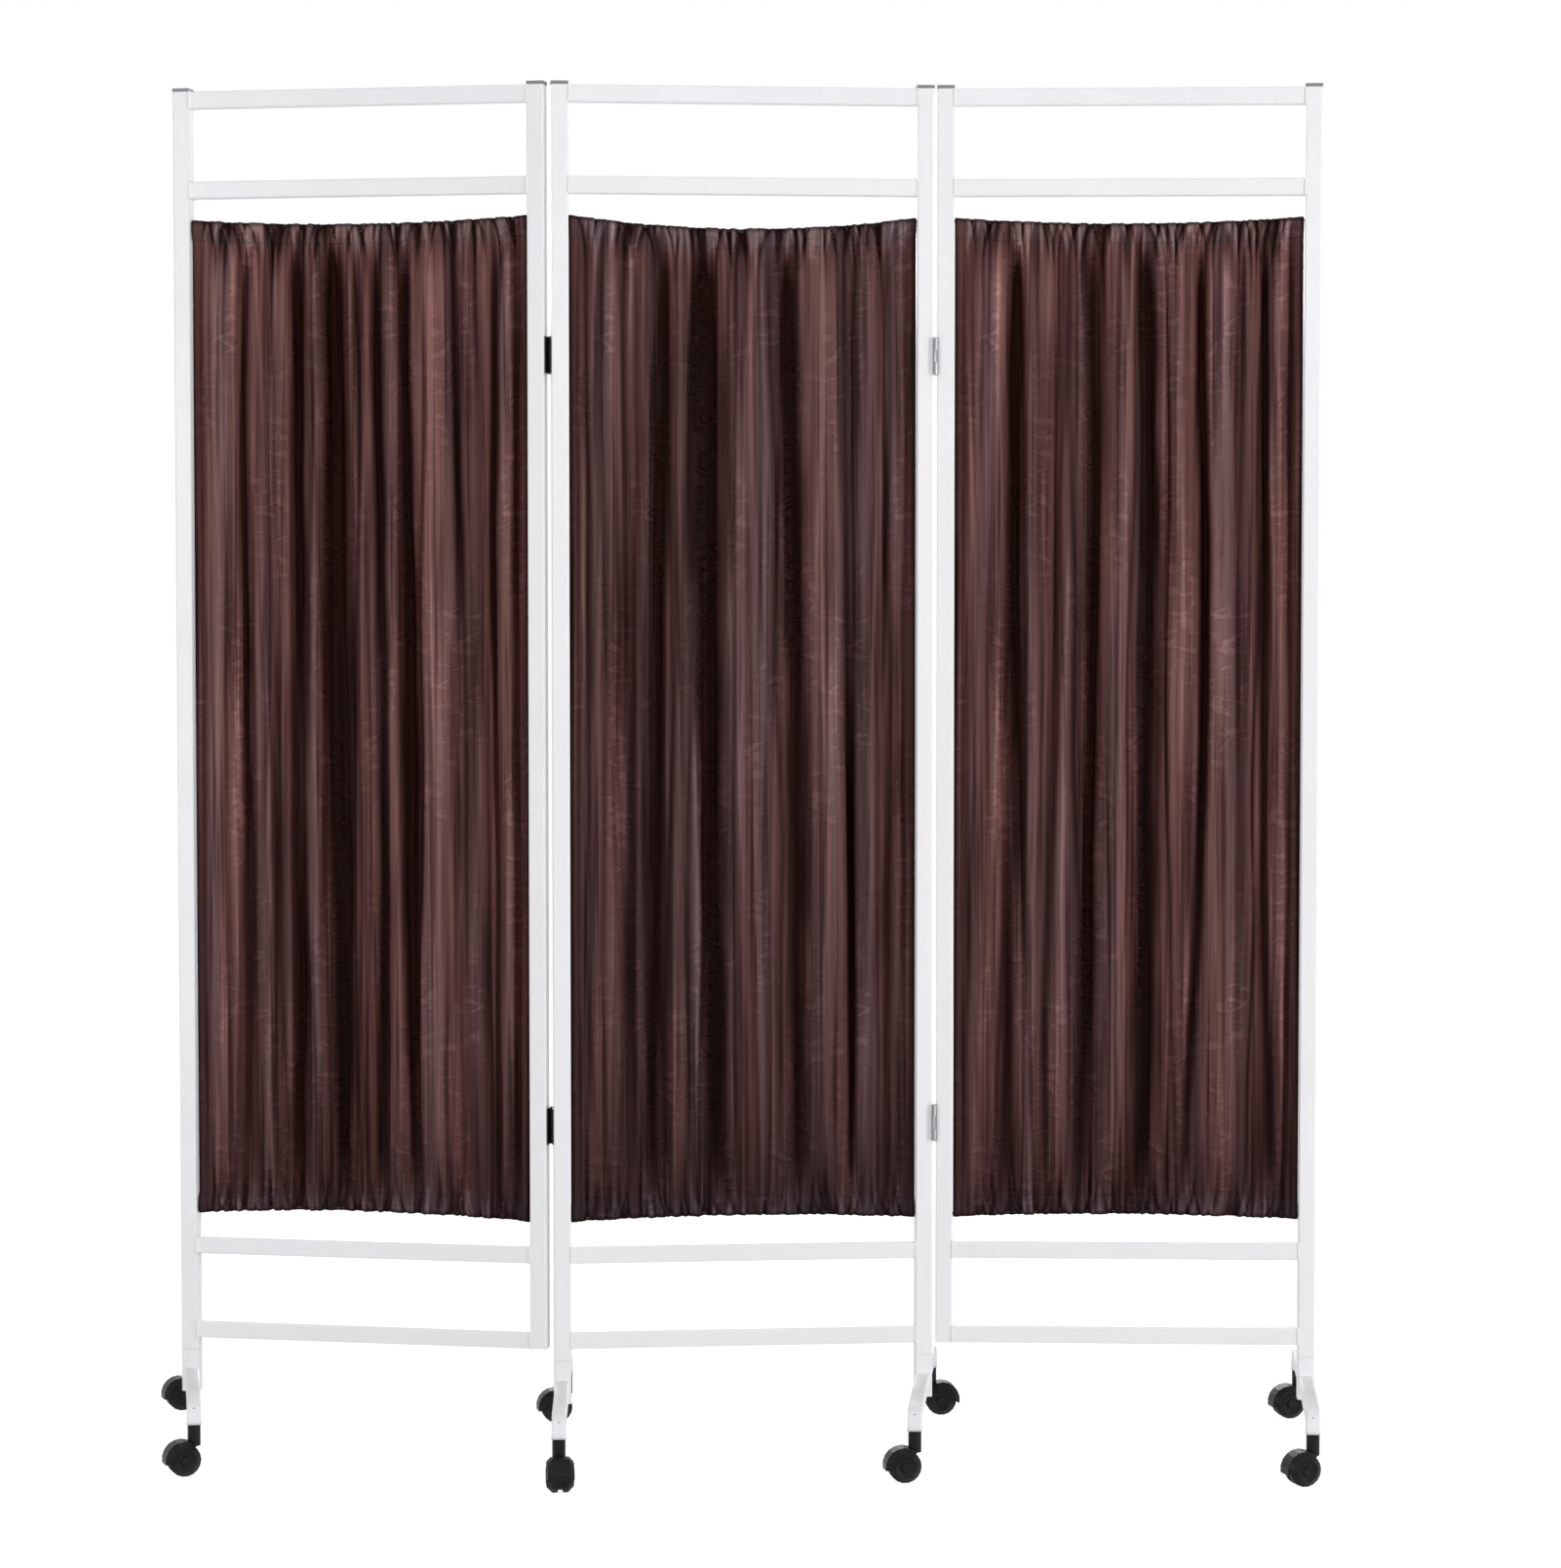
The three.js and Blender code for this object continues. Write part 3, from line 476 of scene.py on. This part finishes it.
def crease(distance, sharpness=1.4):
    """Section of a fold: a narrow bottom that eases out into rounded shoulders."""
    return np.exp(-np.abs(distance) ** sharpness)


def ease(share):
    """Goes from 0 to 1 with soft ends."""
    share = np.clip(share, 0, 1)
    return share * share * (3 - 2 * share)


def sway(height_share, turns, start):
    """A wave of so many turns over the height of the cloth."""
    return np.sin(2 * np.pi * (height_share * turns + start))


def drawn(picks, size, power=1):
    """A size drawn from its least value up; a higher power makes large ones rarer."""
    least, more = size
    return least + more * picks.rand() ** power


def hung_folds(plan, across_share, height_share):
    """Depth of the main folds and of the many small ones between them, in metres."""
    picks = np.random.RandomState(plan["seed"])
    depth = np.zeros(height_share.shape)
    from_end = np.minimum(height_share, 1 - height_share) * usual_fall
    body = 1 - end_flattening * np.exp(-(from_end / end_flattening_reach) ** 1.5)
    for top, middle, bottom, half_width, fold in plan["folds"]:
        centre = (
            top * (2 * height_share - 1) * height_share
            + middle * 4 * height_share * (1 - height_share)
            + bottom * (1 - 2 * height_share) * (1 - height_share)
        )
        centre = centre + slow_wander * sway(height_share, 1.6, picks.rand())
        centre = centre + quick_wander * sway(height_share, 4 + 2 * picks.rand(), picks.rand())
        breath = 1 + depth_breath * sway(height_share, 1.2, picks.rand())
        wider = 1 + slow_widening * sway(height_share, 0.9, picks.rand())
        wider = wider + quick_widening * sway(height_share, 5 + 3 * picks.rand(), picks.rand())
        distance = (across_share - centre) * curtain_width / (half_width / 1000 * wider)
        sharpness = valley_sharpness if fold > 0 else ridge_sharpness
        depth += fold / 1000 * breath * body * crease(distance, sharpness)
    for _ in range(fine_folds):
        centre = picks.rand() + fine_fold_lean * (picks.rand() - 0.5) * (2 * height_share - 1)
        wander = fine_fold_wander * sway(height_share, 1 + 2 * picks.rand(), picks.rand())
        half_width = drawn(picks, fine_fold_half_width)
        fold = drawn(picks, fine_fold_depth, 1.5)
        fold = fold * picks.choice((-drawn_ridge_height, 1), p=drawn_ridge_odds)
        start, stop = sorted(drawn(picks, fine_fold_ends) for _ in range(2))
        started = 1 / (1 + np.exp((start - height_share) / fine_fold_tapering))
        span = started / (1 + np.exp((height_share - stop) / fine_fold_tapering))
        distance = (across_share - (centre + wander)) * curtain_width / half_width
        depth += fold * span * body * crease(distance)
    return depth


def cord_gathers(plan, across_share, height_share):
    """Depth of the short pleats that fan out from the two stitched casings, in metres."""
    picks = np.random.RandomState(plan["seed"] + 100)
    depth = np.zeros(height_share.shape)
    for end in (0, 1):
        from_end = np.abs(height_share - end) * usual_fall
        for place in np.linspace(0.01, 0.99, gathers_on_a_cord):
            centre = place + gather_shift * (picks.rand() - 0.5)
            slant = gather_slant * (picks.rand() - 0.5)
            centre = centre + slant * from_end * np.exp(-from_end / gather_slant_reach)
            half_width = drawn(picks, gather_half_width)
            fold = drawn(picks, gather_depth) * picks.choice((-drawn_ridge_height, 1))
            fade = np.exp(-(from_end / drawn(picks, gather_reach, 2)) ** 2)
            distance = (across_share - centre) * curtain_width / half_width
            depth += fold * fade * crease(distance)
    return depth


def turned_edge(reach, half_depth, lead, steps):
    """Section of an edge turned over a cord: depths, and distances in from the edge, from the
    stitch line at the back, over the cord and down to the stitch line at the front."""
    inward = np.linspace(reach, 2 * half_depth, lead)
    slope = (inward - half_depth) / (reach - half_depth)
    swell = half_depth * np.sqrt(np.clip(1 - slope ** 2, 0, 1))
    around = np.linspace(math.pi / 2, -math.pi / 2, steps + 2)[1:-1]
    over = half_depth * turned_bulge * np.sin(around)
    behind = turned_half_gap + swell
    round_edge = turned_rounding * half_depth * (1 - np.cos(around))
    return (
        np.concatenate((behind, over, -behind[::-1])),
        np.concatenate((inward, round_edge, inward[::-1])),
    )


def lay_out_cloth(plan):
    """Grid of the cloth's points. Its rows run from the stitch line behind the top casing, over
    the cord, down the front and round the bottom cord, and its columns go round the side hems."""
    hem_depth, hem_inset = turned_edge(side_hem_width, side_hem_half_depth, lead=3, steps=3)
    inner_columns = cloth_columns - 2 * len(hem_inset)
    hem_to_hem = np.linspace(side_hem_width, curtain_width - side_hem_width, inner_columns + 2)
    place = np.concatenate((hem_inset, hem_to_hem[1:-1], curtain_width - hem_inset[::-1]))
    flat_front = np.full(inner_columns, -turned_half_gap)
    across = place - curtain_half_width
    high = sagging_height(curtain_top, plan["top_sag"], across)
    low = sagging_height(curtain_bottom, -plan["bottom_rise"], across)
    casing_depth, casing_drop = turned_edge(casing_height, casing_half_depth, lead=5, steps=4)
    closer_at_ends = (1 - np.cos(np.linspace(0, math.pi, body_rows + 2)[1:-1])) / 2
    even = np.linspace(0, 1, body_rows + 2)[1:-1]
    body_share = (closer_at_ends * 0.6 + even * 0.4)[:, None]
    body = high - casing_height - (high - low - 2 * casing_height) * body_share
    top_rows = high - casing_drop[:, None]
    bottom_rows = low + casing_drop[::-1, None]
    heights = np.concatenate((top_rows, body, bottom_rows))
    from_edge = np.minimum(heights - low, high - heights)
    from_side = np.minimum(place, curtain_width - place)
    return SimpleNamespace(
        across=across,
        across_share=(place / curtain_width)[None, :],
        from_side=from_side,
        free_of_hem=ease((from_side - side_hem_width) / hem_blend),
        column_depth=np.concatenate((hem_depth, flat_front, hem_depth[::-1])),
        heights=heights,
        height_share=(heights - low) / (high - low),
        from_edge=from_edge,
        row_depth=np.concatenate((casing_depth, np.zeros(body_rows), casing_depth[::-1]))[:, None],
        free_of_casing=ease((from_edge - 0.6 * casing_height) / (2.8 * casing_height)),
    )


def fold_cloth(plan, grid):
    """Depths of all folds and gathers together, within the room they have, and of the gathers."""
    hung = hung_folds(plan, grid.across_share, grid.height_share)
    gathers = cord_gathers(plan, grid.across_share, grid.height_share)
    mean = hung.mean(axis=1, keepdims=True)
    hung_share = fold_share_in_casing + (1 - fold_share_in_casing) * grid.free_of_casing
    folds = (hung - mean) * hung_share + gathers
    below_casing = ease((grid.from_edge - 0.8 * casing_height) / casing_height)
    room = casing_fold + (deepest_fold - casing_fold) * below_casing
    return room * np.tanh(folds / room) * grid.free_of_hem, gathers * grid.free_of_hem


def place_points(panel, grid, folds, gathers):
    """Puts the grid into its panel: folds, stitch lines, turned edges and a scalloped outline."""
    from_stitching = (grid.from_edge - casing_height) / stitch_pinch_reach
    pinch = stitch_pinch * np.exp(-from_stitching ** 2) * grid.free_of_hem
    in_casing = grid.row_depth + grid.column_depth * (grid.from_side < side_hem_width)
    turned = np.where(grid.row_depth != 0, in_casing, grid.column_depth)
    depth = folds + pinch + turned
    scallop = scallop_share * gathers * np.exp(-(grid.from_edge / scallop_reach) ** 2)
    heights = grid.heights + scallop * np.where(grid.height_share > 0.5, -1, 1)
    middle, along, rearward = panel_axes(panel)
    return (
        np.array(middle)
        + grid.across[None, :, None] * np.array(along)
        + depth[:, :, None] * np.array(rearward)
        + heights[:, :, None] * np.array((0, 0, 1))
    )


def make_cloth_mesh(name, points):
    """Gives the cloth its thickness: an outer and an inner face, closed by a rim round them."""
    outward = np.cross(np.gradient(points, axis=0), np.gradient(points, axis=1))
    outward /= np.linalg.norm(outward, axis=2, keepdims=True)
    faces_of_cloth = [points + side * outward * cloth_thickness / 2 for side in (1, -1)]
    rows, columns = points.shape[:2]
    index = np.arange(rows * columns).reshape(rows, columns)
    corner = index[:-1, :-1].ravel()
    outer = np.stack((corner, corner + columns, corner + columns + 1, corner + 1), axis=1)
    edge = np.concatenate((index[:, 0], index[-1, 1:], index[-2::-1, -1], index[0, -2:0:-1]))
    following = np.roll(edge, -1)
    rim = np.stack((following, edge, edge + index.size, following + index.size), axis=1)
    faces = np.concatenate((outer, outer[:, ::-1] + index.size, rim))
    mesh = bpy.data.meshes.new(name)
    mesh.from_pydata(np.concatenate(faces_of_cloth).reshape(-1, 3).tolist(), [], faces.tolist())
    mesh.shade_smooth()
    return mesh


def distance_along(line):
    steps = np.linalg.norm(np.diff(line, axis=0), axis=1)
    return np.concatenate(([0], np.cumsum(steps)))


def lay_flat(mesh, points):
    """Maps both faces as the cloth lies flat, in metres, and returns its flat width and height."""
    rows, columns = points.shape[:2]
    flat_across = distance_along(points[rows // 2])
    flat_down = distance_along(points[:, columns // 2])
    corners = np.empty(len(mesh.loops), dtype=np.int32)
    mesh.loops.foreach_get("vertex_index", corners)
    corners %= rows * columns
    flat = np.stack((flat_across[corners % columns], flat_down[corners // columns]), axis=1)
    sheet_map = mesh.uv_layers.new(name="flat_cloth")
    sheet_map.data.foreach_set("uv", flat.astype(np.float32).ravel())
    down = points[1:, :-1] - points[:-1, :-1]
    right = points[:-1, 1:] - points[:-1, :-1]
    area = np.linalg.norm(np.cross(down, right), axis=2).sum()
    return round(float(area / flat_down[-1]), 3), round(float(flat_down[-1]), 3)


def mark_painted_shades(mesh, plan, grid, folds):
    """Values at each point for the cloth's material: the painted shade of how deep in a fold it
    lies as seen from its own face, how far from the edges it is, and where the cloth is paler,
    greyer or darker."""
    at_edge, more_inside = darkest_fold_depth
    softened = 1 + bottom_softness * ease(1 - grid.height_share / bottom_softness_share)
    darkest_fold = (at_edge + more_inside * ease(grid.from_edge / darkest_fold_reach)) * softened
    # Painted shade: the deeper a point lies in a fold, as seen from its own face, the darker its
    # painted shade.
    hollow = np.where(grid.row_depth > 0, -1, 1) * folds / darkest_fold
    paler_casing = casing_paleness * (1 - grid.free_of_casing)
    same_on_both = {
        "edge_distance": np.minimum(grid.from_edge, farthest_measured),
        "side_distance": grid.from_side,
        "high_share": ease((grid.height_share - 0.86) / 0.09),
        "greyed": plan["greyed"],
        "low_share": (
            0.6 * ease(1 - grid.height_share / 0.12) + 0.4 * ease(1 - grid.height_share / 0.7)
        ),
    }
    shades = {
        "hollow": (
            np.clip(front_painted_shade - paler_casing + hollow, 0, 1),
            np.clip(back_painted_shade - paler_casing - hollow, 0, 1),
        ),
        **{name: (value, value) for name, value in same_on_both.items()},
    }
    for name, faces in shades.items():
        values = np.concatenate([np.broadcast_to(face, folds.shape) for face in faces])
        layer = mesh.attributes.new(name, "FLOAT", "POINT")
        layer.data.foreach_set("value", values.astype(np.float32).ravel())


def make_cloth_material():
    """Brown satin: a painted highlight makes its ridges pale and painted shade makes its hollows
    nearly black, and it is streaked down the cloth.
    """
    material, nodes, links, shader = new_material("brown_satin_cloth", (
        ("Roughness", 0.45), ("Specular IOR Level", 0.04), ("Specular Tint", (1, 0.72, 0.68, 1)),
    ))
    flat = nodes.new("ShaderNodeUVMap")
    flat.uv_map = "flat_cloth"

    def measured(name):
        """A value that mark_painted_shades has written at each point of the cloth."""
        node = nodes.new("ShaderNodeAttribute")
        node.attribute_name = name
        return node.outputs["Fac"]

    def cloth_noise(across, down, detail, turn=0.0):
        """Noise whose patches are about so many metres across and down the cloth."""
        stretch = nodes.new("ShaderNodeMapping")
        stretch.vector_type = "TEXTURE"
        stretch.inputs["Rotation"].default_value = (0, 0, turn)
        stretch.inputs["Scale"].default_value = (across, down, 1)
        noise = nodes.new("ShaderNodeTexNoise")
        noise.inputs["Scale"].default_value = 1
        noise.inputs["Detail"].default_value = detail
        links.new(flat.outputs["UV"], stretch.inputs["Vector"])
        links.new(stretch.outputs["Vector"], noise.inputs["Vector"])
        return noise.outputs["Fac"]

    def spanned(value, low, high, low_result=0.0, high_result=1.0):
        """Goes from one result to the other while the value goes from low to high."""
        node = nodes.new("ShaderNodeMapRange")
        node.inputs["From Min"].default_value = low
        node.inputs["From Max"].default_value = high
        node.inputs["To Min"].default_value = low_result
        node.inputs["To Max"].default_value = high_result
        links.new(value, node.inputs["Value"])
        return node.outputs["Result"]

    def fading(value, low, high):
        return spanned(value, low, high, 1.0, 0.0)

    def combined(operation, first, second):
        node = nodes.new("ShaderNodeMath")
        node.operation = operation
        links.new(first, node.inputs[0])
        links.new(second, node.inputs[1])
        return node.outputs["Value"]

    def tinted(colour, amount, tint):
        node = nodes.new("ShaderNodeMix")
        node.data_type = "RGBA"
        node.blend_type = "MULTIPLY"
        node.inputs["B"].default_value = (*tint, 1)
        links.new(amount, node.inputs["Factor"])
        links.new(colour, node.inputs["A"])
        return node.outputs["Result"]

    def bumped(height, strength, depth, under=None):
        node = nodes.new("ShaderNodeBump")
        node.inputs["Strength"].default_value = strength
        node.inputs["Distance"].default_value = depth
        links.new(height, node.inputs["Height"])
        if under is not None:
            links.new(under, node.inputs["Normal"])
        return node.outputs["Normal"]

    # Painted shade and highlight: the ramp turns each point's painted fold shade into a tone.
    ramp = nodes.new("ShaderNodeValToRGB")
    stops = ramp.color_ramp.elements
    stops[0].position, stops[0].color = ridge_painted_highlight
    stops[1].position, stops[1].color = hollow_painted_shade
    for position, tone in slope_painted_shades:
        stops.new(position).color = tone
    links.new(measured("hollow"), ramp.inputs["Fac"])

    pucker_patches = spanned(cloth_noise(across=0.06, down=0.24, detail=2), 0.46, 0.58)
    rising = cloth_noise(across=0.034, down=0.0135, detail=1, turn=0.22)
    falling = cloth_noise(across=0.030, down=0.0120, detail=1, turn=-0.30)
    crossing = spanned(combined("MAXIMUM", rising, falling), 0.53, 0.67)
    puckers = combined("MULTIPLY", crossing, pucker_patches)
    broad_streaks = spanned(cloth_noise(across=0.035, down=1.2, detail=1), 0.42, 0.60)
    dark_streaks = spanned(cloth_noise(across=0.0070, down=0.35, detail=3), 0.46, 0.66)
    painted_highlight_streaks = spanned(cloth_noise(across=0.0085, down=0.45, detail=2), 0.52, 0.68)
    from_edge, from_side = measured("edge_distance"), measured("side_distance")
    stitched_from, stitched_at, stitched_to = (
        casing_height + step for step in (-0.0020, -0.0004, 0.0016)
    )
    above_stitches = spanned(from_edge, stitched_from, stitched_at)
    below_stitches = fading(from_edge, stitched_at, stitched_to)
    # Each of these multiplies the cloth's colour by its tint, as far as its amount goes.
    colour = ramp.outputs["Color"]
    for amount, tint in (
        (broad_streaks, (0.74, 0.83, 0.93)),
        (dark_streaks, (0.38, 0.33, 0.34)),
        # Painted highlight: pale streaks down the cloth, for a satin's sheen along its ridges.
        (painted_highlight_streaks, (1.65, 1.68, 1.75)),
        # Painted highlight on the puckers' crests; the same puckers are also bumped below.
        (puckers, (1.40, 1.42, 1.46)),
        (measured("greyed"), (0.81, 0.86, 0.89)),
        (measured("low_share"), (0.64, 0.65, 0.69)),
        (measured("high_share"), (1.24, 1.24, 1.22)),
        (fading(from_edge, stitched_from, casing_height + 0.008), (0.93, 1.12, 1.20)),
        # Painted shade: dark lines along the turned edges, at the top and bottom and down the
        # sides.
        (fading(from_edge, 0.0005, 0.0065), (0.10, 0.10, 0.13)),
        (fading(from_side, 0.0005, 0.006), (0.22, 0.20, 0.24)),
        (combined("MULTIPLY", above_stitches, below_stitches), (0.80, 0.80, 0.82)),
    ):
        colour = tinted(colour, amount, tint)
    links.new(colour, shader.inputs["Base Color"])

    weave = nodes.new("ShaderNodeTexWave")
    weave.bands_direction = "DIAGONAL"
    weave.inputs["Scale"].default_value = weave_scale
    links.new(flat.outputs["UV"], weave.inputs["Vector"])
    puckered = bumped(puckers, strength=0.7, depth=0.0035)
    woven = bumped(weave.outputs["Fac"], strength=0.25, depth=0.0001, under=puckered)
    links.new(woven, shader.inputs["Normal"])
    return material


satin_cloth = make_cloth_material()
for panel, plan in curtain_plans.items():
    grid = lay_out_cloth(plan)
    folds, gathers = fold_cloth(plan, grid)
    points = place_points(panel, grid, folds, gathers)
    mesh = make_cloth_mesh(f"{panel}_cloth", points)
    flat_size = lay_flat(mesh, points)
    mark_painted_shades(mesh, plan, grid, folds)
    mesh.materials.append(satin_cloth)
    cloth = link_piece(f"{panel}_cloth", mesh)
    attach(cloth, panel)
    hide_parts(f"{panel}_curtain")


# Room: a seamless pale floor that keeps the screen's soft shadow, and a white surround. What the
# lens or a gloss sees of them is white, and the light that the surround gives is weaker.
floor_reach = 40
floor_grey = (0.8, 0.8, 0.8, 1)
floor_shadow_grey = (0.3, 0.3, 0.3, 1)
floor_glow = 0.91
surround_light = 0.32


def seen_directly(nodes, links):
    """One on rays from the lens, off a gloss or through a clear piece, and otherwise nought."""
    path = nodes.new("ShaderNodeLightPath")
    seen = path.outputs["Is Camera Ray"]
    for kind in ("Is Glossy Ray", "Is Transmission Ray"):
        either = nodes.new("ShaderNodeMath")
        either.operation = "MAXIMUM"
        links.new(seen, either.inputs[0])
        links.new(path.outputs[kind], either.inputs[1])
        seen = either.outputs["Value"]
    return seen


def make_floor_material():
    material = bpy.data.materials.new("studio_floor")
    material.use_nodes = True
    nodes, links = material.node_tree.nodes, material.node_tree.links
    nodes.clear()
    result = nodes.new("ShaderNodeOutputMaterial")
    matt = nodes.new("ShaderNodeBsdfDiffuse")
    matt.inputs["Color"].default_value = floor_grey
    thin_matt = nodes.new("ShaderNodeBsdfDiffuse")
    thin_matt.inputs["Color"].default_value = floor_shadow_grey
    glow = nodes.new("ShaderNodeEmission")
    glow.inputs["Strength"].default_value = floor_glow
    both = nodes.new("ShaderNodeAddShader")
    pick = nodes.new("ShaderNodeMixShader")
    links.new(thin_matt.outputs["BSDF"], both.inputs[0])
    links.new(glow.outputs["Emission"], both.inputs[1])
    links.new(seen_directly(nodes, links), pick.inputs["Fac"])
    links.new(matt.outputs["BSDF"], pick.inputs[1])
    links.new(both.outputs["Shader"], pick.inputs[2])
    links.new(pick.outputs["Shader"], result.inputs["Surface"])
    return material


floor_mesh = bpy.data.meshes.new("studio_floor")
floor_corners = [
    (-floor_reach, -floor_reach, 0), (floor_reach, -floor_reach, 0),
    (floor_reach, floor_reach, 0), (-floor_reach, floor_reach, 0),
]
floor_mesh.from_pydata(floor_corners, [], [(0, 1, 2, 3)])
floor_mesh.materials.append(make_floor_material())
floor = link_piece("studio_floor", floor_mesh)

surround = bpy.data.worlds.new("studio")
bpy.context.scene.world = surround
surround.use_nodes = True
nodes, links = surround.node_tree.nodes, surround.node_tree.links
level = nodes.new("ShaderNodeMapRange")
level.inputs["To Min"].default_value = surround_light
level.inputs["To Max"].default_value = 1.0
nodes["Background"].inputs["Color"].default_value = (1, 1, 1, 1)
links.new(seen_directly(nodes, links), level.inputs["Value"])
links.new(level.outputs["Result"], nodes["Background"].inputs["Strength"])


# Lamps: large softboxes to the right, the left and the front, the right one brightest, and weaker
# ones behind and overhead that fill the screen's back and the tops of its rails.
# Each softbox has its place, its width and height in metres, and its power in watts.
lamp_aim = Vector((0, 0, 0.9))
softboxes = {
    "right_softbox": ((4.2, -2.9, 1.3), (0.9, 2.6), 114),
    "left_softbox": ((-3.6, -3.4, 1.3), (0.9, 2.6), 61),
    "front_softbox": ((-0.2, -5.6, 1.9), (2.4, 1.2), 29),
    "rear_softbox": ((0.4, 5.6, 2.6), (3.2, 1.6), 110),
    "overhead_softbox": ((0, -0.3, 5.2), (2.4, 2.4), 40),
}
for name, (place, size, watts) in softboxes.items():
    light = bpy.data.lights.new(name, "AREA")
    light.shape = "RECTANGLE"
    light.size, light.size_y = size
    light.energy = watts
    lamp = bpy.data.objects.new(name, light)
    bpy.context.scene.collection.objects.link(lamp)
    lamp.location = place
    lamp.rotation_mode = "QUATERNION"
    lamp.rotation_quaternion = (lamp_aim - Vector(place)).to_track_quat("-Z", "Y")

bpy.context.scene.view_settings.view_transform = "Standard"
